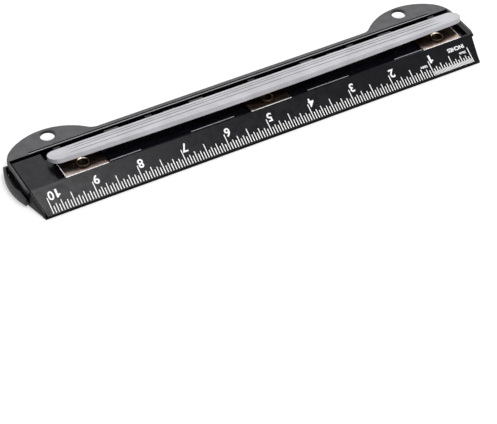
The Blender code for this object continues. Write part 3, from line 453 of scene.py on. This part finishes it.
def print_words(name, words, x, up, size, align, bold):
    """Flat printed words that read from behind the ruler, thickened to the ink's height."""
    curve = bpy.data.curves.new(name, "FONT")
    curve.body = words
    curve.size = size
    curve.align_x = align
    curve.align_y = "CENTER"
    curve.extrude = INK_HEIGHT
    curve.offset = size * bold
    holder = placed(name, curve)
    graph = bpy.context.evaluated_depsgraph_get()
    mesh = bpy.data.meshes.new_from_object(holder.evaluated_get(graph))
    bpy.data.objects.remove(holder, do_unlink=True)
    weld(mesh, INK_WELD)
    mesh.transform(on_slope(x, up, math.pi))
    link(name, mesh, (INK,), "body")


def print_one(name, x):
    """The figure 1, with a flag, which ends at x."""
    outline = [(across * DIGIT_SIZE, (up - ONE_MIDDLE) * DIGIT_SIZE) for across, up in ONE]
    shape = prism(outline, -INK_HEIGHT, INK_HEIGHT)
    bmesh.ops.transform(shape, matrix=on_slope(x, DIGIT_MIDDLE, math.pi), verts=shape.verts)
    link(name, mesh_of(name, shape), (INK,), "body")


make_ticks()
print_one("ruler_digit_1", mark_x(1) + DIGIT_GAP)
print_one("ruler_digit_10_tens", mark_x(RULER_INCHES) + DIGIT_GAP + DIGIT_SIZE * ZERO_WIDTH)
for number in range(2, RULER_INCHES + 1):
    print_words(f"ruler_digit_{number}", str(number % 10), mark_x(number) + DIGIT_GAP,
                DIGIT_MIDDLE, DIGIT_SIZE, "RIGHT", DIGIT_BOLD)
for words, x, up, size in WORDS:
    print_words(f"ruler_word_{words}", words, x, up, size, "CENTER", WORD_BOLD)


# Carved pieces: copies of the solids with finer edges, grooves and seams

WELD = 1e-7
FLAT_ANGLE = math.radians(0.5)
SHARP_ANGLE = math.radians(38)
MOUTH_SHARP_ANGLE = math.radians(30)
SOFT_EDGE_ANGLE = math.radians(40)


def rod(name, stations, radius, sides=16):
    """A closed rod of round section along x, through stations of (x, y, z)."""
    shape = bmesh.new()
    angles = [2 * math.pi * side / sides for side in range(sides)]
    rings = [[shape.verts.new((x, y + radius * math.cos(a), z + radius * math.sin(a)))
              for a in angles] for x, y, z in stations]
    for one, two in zip(rings, rings[1:]):
        for side in range(sides):
            after = (side + 1) % sides
            shape.faces.new((one[side], one[after], two[after], two[side]))
    shape.faces.new(reversed(rings[0]))
    shape.faces.new(rings[-1])
    bmesh.ops.recalc_face_normals(shape, faces=shape.faces)
    return mesh_of(name, shape)


def arc(centre, radius, start, end, steps):
    """Points on the left side of a circle, from one place in y to another."""
    first, last = (math.asin((y - centre[1]) / radius) for y in (start, end))
    turns = [first + (last - first) * step / steps for step in range(steps + 1)]
    return [(centre[0] - radius * math.cos(turn), centre[1] + radius * math.sin(turn))
            for turn in turns]


def solid_of(node_name):
    """A node's solid, with its triangles joined into whole faces."""
    shape = bmesh.new()
    shape.from_mesh(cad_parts[node_name].data)
    bmesh.ops.remove_doubles(shape, verts=shape.verts, dist=WELD)
    bmesh.ops.dissolve_limit(shape, angle_limit=FLAT_ANGLE, verts=shape.verts, edges=shape.edges)
    return shape


def round_off(shape, edges, reach, steps, clamp=False):
    """Rounds these edges over, in so many steps."""
    bmesh.ops.bevel(shape, geom=edges, offset=reach, segments=steps, profile=0.5,
                    affect="EDGES", clamp_overlap=clamp)


def carved(name, shape, cutters=()):
    """The mesh of a shape, less the cutters."""
    rough = placed(name, mesh_of(name, shape))
    holders = []
    for index, cutter in enumerate(cutters):
        holder = placed(f"{name}_cutter_{index}", cutter)
        holders.append(holder)
        carve = rough.modifiers.new("carve", "BOOLEAN")
        carve.object = holder
        carve.solver = "EXACT"
    graph = bpy.context.evaluated_depsgraph_get()
    final = bpy.data.meshes.new_from_object(rough.evaluated_get(graph))
    for holder in holders + [rough]:
        bpy.data.objects.remove(holder, do_unlink=True)
    weld(final, WELD)
    final.shade_smooth()
    final.set_sharp_from_angle(angle=SHARP_ANGLE)
    return final


def even_shading(made):
    even = made.modifiers.new("even_shading", "WEIGHTED_NORMAL")
    even.keep_sharp = True


def soft_edge(made, width):
    edge = made.modifiers.new("edge", "BEVEL")
    edge.width = width
    edge.segments = 3
    edge.limit_method = "ANGLE"
    edge.angle_limit = SOFT_EDGE_ANGLE


def score(shape, place, across, level, behind=math.inf):
    """Cuts a line into the flat faces at a level, up to a place in y, without opening them."""
    flat = [face for face in shape.faces
            if min(point.co.z for point in face.verts) > level - TOUCH
            and max(point.co.y for point in face.verts) < behind]
    parts = dict.fromkeys(part for face in flat for part in (*face.verts, *face.edges))
    bmesh.ops.bisect_plane(shape, geom=flat + list(parts), plane_co=place, plane_no=across,
                           dist=WELD)


def make_frame():
    """The frame with its rim rounded over, and a seam along the rail behind a narrow lip painted
    light as a highlight.
    """
    shape = solid_of("binder_frame")
    rim = [edge for edge in shape.edges
           if min(point.co.z for point in edge.verts) > BODY_TOP - TOUCH
           and edge.calc_face_angle(0) > FRAME_ANGLE]
    round_off(shape, rim, FRAME_ROUND, steps=4)
    rail = FRONT_Y + BODY_DEPTH - RAIL_WIDTH
    seam = rail + SEAM_BEHIND
    seam_rear = seam + SEAM_WIDTH / 2
    lip_rear = seam - SEAM_WIDTH / 2
    lip_front = lip_rear - LIP_WIDTH
    for y in (lip_front, lip_rear, seam, seam_rear):
        score(shape, (0, y, 0), (0, 1, 0), BODY_TOP)
    for x in (SEAM_HALF, SEAM_HALF - SEAM_FADE):
        for side in (-1, 1):
            score(shape, (side * x, 0, 0), (1, 0, 0), BODY_TOP, seam_rear + TOUCH)
    for point in shape.verts:
        x, y, z = point.co
        on_seam = z > BODY_TOP - TOUCH and abs(y - seam) < TOUCH
        if on_seam and abs(x) < SEAM_HALF - SEAM_FADE / 2:
            point.co.z -= SEAM_DEPTH
        middle = Vector((math.copysign(EAR_HOLE_X, x), EAR_HOLE_Y))
        if (point.co.xy - middle).length < EAR_HOLE_REACH:
            point.co.xy = middle + (point.co.xy - middle) * EAR_HOLE_TAPER
    finishes = (FRAME, LIP_HIGHLIGHT, SHADE, BLACK)
    mesh = carved("frame_moulding", shape)
    made = link("frame_moulding", mesh, finishes, "body")
    for face in mesh.polygons:
        x, y, z = face.center
        if face.normal.z > LEVEL_FACE:
            face.use_smooth = False
        along_seam = abs(x) < SEAM_HALF
        in_seam = abs(y - seam) < SEAM_WIDTH / 2 and BODY_TOP - SEAM_DEPTH < z < BODY_TOP - NEAR
        on_lip_highlight = lip_front < y < lip_rear and z > BODY_TOP - FRAME_ROUND
        rail_face = abs(x) < RAIL_HALF and rail - NEAR < y < rail + FRAME_ROUND
        front_strip = along_seam and rail - NEAR < y < lip_front
        # The lip is painted light as a painted highlight
        if along_seam and on_lip_highlight:
            face.material_index = finishes.index(LIP_HIGHLIGHT)
        # The seam, the rail's front face and the strip before the lip are painted shade
        elif along_seam and in_seam or rail_face or front_strip:
            face.material_index = finishes.index(SHADE)
        # The frame's upright outer faces take the darker black as painted shade on its sides
        elif abs(x) > RAIL_HALF and y < rail + RAIL_WIDTH and abs(face.normal.z) < UPRIGHT_FACE:
            face.material_index = finishes.index(BLACK)
    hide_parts("binder_frame")
    even_shading(made)


def make_lever():
    """The lever with three fine grooves along its top, which fade out towards its ends; painted
    shade darkens the grooves and the knuckles.
    """
    place = Matrix.Translation(HINGE) @ Matrix.Rotation(-OPEN_ANGLE, 4, "X")

    def surface(behind):
        return LEVER_REAR_TOP + LEVER_RISE * behind / LEVER_WIDTH

    cutters = []
    for index, behind in enumerate(GROOVES):
        stations = []
        for step in range(GROOVE_STEPS + 1):
            x = GROOVE_HALF * (2 * step / GROOVE_STEPS - 1)
            near = min(1, (GROOVE_HALF - abs(x)) / GROOVE_FADE)
            depth = GROOVE_DEPTH * math.sin(near * math.pi / 2) - GROOVE_LIFT
            stations.append((x, LEVER_REAR - behind, surface(behind) + GROOVE_RADIUS - depth))
        cutter = rod(f"groove_{index}", stations, GROOVE_RADIUS)
        cutter.transform(place)
        cutters.append(cutter)
    shape = solid_of("lever")
    for point in shape.verts:
        beyond = (point.co.x - HINGE.x - LEVER_END_START) / LEVER_END_SPAN
        point.co.x += LEVER_END_REACH * min(1, max(0, beyond))
    finishes = (GREY, DARK, GROOVE_PAINTED_SHADE)
    mesh = carved("lever_moulding", shape, cutters)
    made = link("lever_moulding", mesh, finishes, "lever")
    back = place.inverted()
    for face in mesh.polygons:
        x, y, z = back @ face.center
        behind = LEVER_REAR - y
        deep = surface(behind) - GROOVE_SHADE_BOTTOM < z < surface(behind) - GROOVE_SHADE_TOP
        # Faces behind the rear edge, the knuckles in the gap, are painted dark as painted shade
        if behind < -CLOSE:
            face.material_index = finishes.index(DARK)
        # Faces deep in a groove are painted darker as painted shade
        elif deep and min(abs(behind - groove) for groove in GROOVES) < GROOVE_RADIUS:
            face.material_index = finishes.index(GROOVE_PAINTED_SHADE)
    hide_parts("lever")
    even_shading(made)


def make_tray():
    """The drawer from the solid, and its pull: a curved grip with a hollow for a finger."""
    inner_face = -HALF_LENGTH - PULL_GAP
    shape = bmesh.new()
    add_box(shape, BEYOND_LOW, (inner_face - PULL_WALL / 2, *BEYOND_HIGH))
    mesh = carved("tray_drawer", solid_of("chip_tray"), [mesh_of("beyond", shape)])
    drawer = link("tray_drawer", mesh, (DARK,), "tray")
    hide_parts("chip_tray")

    front, rear = FRONT_Y + PULL_FRONT, FRONT_Y + PULL_REAR
    half_span = (rear - front) / 2
    radius = (half_span ** 2 + PULL_BULGE ** 2) / (2 * PULL_BULGE)
    centre = (inner_face - PULL_REACH + radius, (front + rear) / 2)
    corner = [(x, rear - before) for x, before in PULL_CORNER]
    outline = arc(centre, radius, rear, front, PULL_STEPS) + [(inner_face, front)] + corner
    grip = prism(outline, PULL_BOTTOM, PULL_TOP)
    # The edges that face the housing stay sharp below the top
    rims = [edge for edge in grip.edges if edge.calc_face_angle(0) > PULL_ANGLE and not
            (min(point.co.z for point in edge.verts) < PULL_TOP - NEAR and
             max(point.co.x for point in edge.verts) > inner_face - NEAR)]
    round_off(grip, rims, PULL_ROUND, steps=3, clamp=True)

    hollow_rear = rear - PULL_END_WALL
    room = arc(centre, radius - PULL_WALL, hollow_rear, front + HOLLOW_FRONT, HOLLOW_STEPS)
    room += [(inner_face + HOLLOW_OVERRUN, front + HOLLOW_MOUTH),
             (inner_face + HOLLOW_OVERRUN, hollow_rear)]
    hollow = mesh_of("hollow", prism(room, HOLLOW_FLOOR, PULL_TOP + HOLLOW_OVERRUN))
    mesh = carved("tray_pull", grip, [hollow])
    made = link("tray_pull", mesh, (DARK,), "tray")
    soft_edge(made, PULL_SOFT_EDGE)


def edge_at(edge, axis, value):
    return all(abs(point.co[axis] - value) < CLOSE for point in edge.verts)


def make_brackets():
    """The brackets with a rolled front edge and softened ends, whose rounding at the front and
    outer end is painted near white as a highlight.
    """
    finishes = (PLATED, EDGE_HIGHLIGHT)
    for place in ("left", "centre", "right"):
        node = f"punch_bracket_{place}"
        low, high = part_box(node)
        shape = solid_of(node)
        front = [edge for edge in shape.edges
                 if edge_at(edge, 2, high[2]) and edge_at(edge, 1, low[1])]
        round_off(shape, front, BRACKET_EDGE, steps=5)
        ends = [edge for edge in shape.edges if edge_at(edge, 2, high[2])
                and (edge_at(edge, 0, low[0]) or edge_at(edge, 0, high[0]))]
        round_off(shape, ends, BRACKET_EDGE / 2, steps=3)
        mesh = carved(f"bracket_sheet_{place}", shape)
        made = link(f"bracket_sheet_{place}", mesh, finishes, "body")
        for face in mesh.polygons:
            x, y, z = face.center
            rounded = high[2] - BRACKET_EDGE < z < high[2] - TOUCH
            to_outer_end = {"left": x - low[0], "right": high[0] - x}.get(place, math.inf)
            # The rounded front and outer end edges are painted as a highlight
            if rounded and (y < low[1] + BRACKET_EDGE or to_outer_end < BRACKET_EDGE / 2):
                face.material_index = finishes.index(EDGE_HIGHLIGHT)
        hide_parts(node)


def make_fin_highlights():
    """The thin fins behind the ridge have a light grey rod along their top edge, as a painted
    highlight.
    """
    for index, (start, end) in enumerate(FINS):
        stations = [(start, FIN_Y, FIN_TOP), (end, FIN_Y, FIN_TOP)]
        mesh = rod(f"fin_highlight_{index}", stations, FIN_RADIUS, FIN_SIDES)
        link(f"fin_highlight_{index}", mesh, (FIN_HIGHLIGHT,), "body")


def make_springs():
    """The springs again, as welded copies of the solids."""
    for place in ("left", "right"):
        node = f"lever_spring_{place}"
        mesh = carved(f"spring_wire_{place}", solid_of(node))
        mesh.materials.clear()
        mesh.materials.append(WIRE)
        made = placed(f"spring_wire_{place}", mesh)
        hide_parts(node)
        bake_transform(made)


def make_punch_rims():
    """A funnel on the mouth of each hollow punch, its inner face a light brass metal as a painted
    highlight.
    """
    finishes = (PUNCH_STEEL_AND_SHADE, MOUTH_HIGHLIGHT)
    for place in ("left", "centre", "right"):
        node = f"punch_{place}"
        low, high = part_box(node)
        middle = Vector(((low[0] + high[0]) / 2, (low[1] + high[1]) / 2))
        level = high[2]
        mouth = [(point.co.xy - middle).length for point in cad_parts[node].data.vertices
                 if point.co.z > level - TOUCH]
        inner, outer = min(mouth), max(mouth)
        section = ((outer, -MOUTH_SINK), (outer, MOUTH_SHOULDER),
                   (outer - MOUTH_CHAMFER, MOUTH_HEIGHT), (outer - MOUTH_LAND, MOUTH_HEIGHT),
                   (inner, MOUTH_LIFT), (inner - MOUTH_LIFT, -MOUTH_SINK))
        shape = bmesh.new()
        rings = []
        for step in range(MOUTH_STEPS):
            angle = 2 * math.pi * step / MOUTH_STEPS
            rings.append([shape.verts.new((middle.x + reach * math.cos(angle),
                                           middle.y + reach * math.sin(angle), level + up))
                          for reach, up in section])
        for ring, after in zip(rings, rings[1:] + rings[:1]):
            for side in range(len(section)):
                on = (side + 1) % len(section)
                shape.faces.new((ring[side], after[side], after[on], ring[on]))
        bmesh.ops.recalc_face_normals(shape, faces=shape.faces)
        mesh = mesh_of(f"punch_rim_{place}", shape)
        mesh.shade_smooth()
        mesh.set_sharp_from_angle(angle=MOUTH_SHARP_ANGLE)
        link(f"punch_rim_{place}", mesh, finishes, node)
        for face in mesh.polygons:
            inside = (face.center.xy - middle).length < outer - MOUTH_BRIGHT_INSET
            # The inner face of the mouth is painted as a highlight
            if inside and level < face.center.z < level + MOUTH_BRIGHT_TOP:
                face.material_index = finishes.index(MOUTH_HIGHLIGHT)


make_frame()
make_lever()
make_tray()
make_brackets()
make_fin_highlights()
make_springs()
make_punch_rims()


# Floor, light and camera

def seen(nodes, links):
    """1 where the camera looks straight at it or in a reflection, and 0 for its light."""
    path = nodes.new("ShaderNodeLightPath")
    either = nodes.new("ShaderNodeMath")
    either.operation = "MAXIMUM"
    links.new(path.outputs["Is Camera Ray"], either.inputs[0])
    links.new(path.outputs["Is Glossy Ray"], either.inputs[1])
    return either.outputs[0]


def make_floor():
    """A white floor that still takes shadows."""
    corners = [(-1, -1), (1, -1), (1, 1), (-1, 1)]
    mesh = bpy.data.meshes.new("floor")
    mesh.from_pydata([(x * FLOOR_HALF, y * FLOOR_HALF, 0) for x, y in corners], [],
                     [(0, 1, 2, 3)])
    floor = placed("floor", mesh)
    floor.location.z = -FLOOR_DROP
    made = bpy.data.materials.new("white_floor")
    made.use_nodes = True
    nodes, links = made.node_tree.nodes, made.node_tree.links
    nodes.clear()
    output = nodes.new("ShaderNodeOutputMaterial")
    lit = nodes.new("ShaderNodeBsdfDiffuse")
    lit.inputs["Color"].default_value = (FLOOR_GREY, FLOOR_GREY, FLOOR_GREY, 1)
    glow = nodes.new("ShaderNodeEmission")
    glow.inputs["Color"].default_value = (1, 1, 1, 1)
    strength = span(nodes, links, seen(nodes, links), 0, FLOOR_GLOW, start=0, end=1)
    links.new(strength, glow.inputs["Strength"])
    both = nodes.new("ShaderNodeAddShader")
    links.new(lit.outputs[0], both.inputs[0])
    links.new(glow.outputs[0], both.inputs[1])
    links.new(both.outputs[0], output.inputs["Surface"])
    mesh.materials.append(made)


def make_world():
    """White where it is seen, and dimmer as a light."""
    world = bpy.data.worlds.new("studio")
    bpy.context.scene.world = world
    world.use_nodes = True
    nodes, links = world.node_tree.nodes, world.node_tree.links
    background = nodes["Background"]
    background.inputs["Color"].default_value = (1, 1, 1, 1)
    strength = span(nodes, links, seen(nodes, links), AMBIENT, 1, start=0, end=1)
    links.new(strength, background.inputs["Strength"])


def area_light(name, place, aim, size, power):
    light = bpy.data.lights.new(name, "AREA")
    light.shape = "RECTANGLE"
    light.size, light.size_y = size
    light.energy = power
    holder = placed(name, light)
    holder.location = place
    holder.rotation_euler = (Vector(aim) - Vector(place)).to_track_quat("-Z", "Y").to_euler()


def make_camera():
    data = bpy.data.cameras.new("camera")
    data.lens = CAMERA_LENS
    data.sensor_width = CAMERA_SENSOR
    data.clip_start, data.clip_end = CAMERA_CLIP
    camera = placed("camera", data)
    camera.location = CAMERA_PLACE
    camera.rotation_euler = CAMERA_TURN
    bpy.context.scene.camera = camera


make_floor()
make_world()
for light in LIGHTS:
    area_light(*light)
make_camera()
bpy.context.scene.view_settings.view_transform = "Standard"
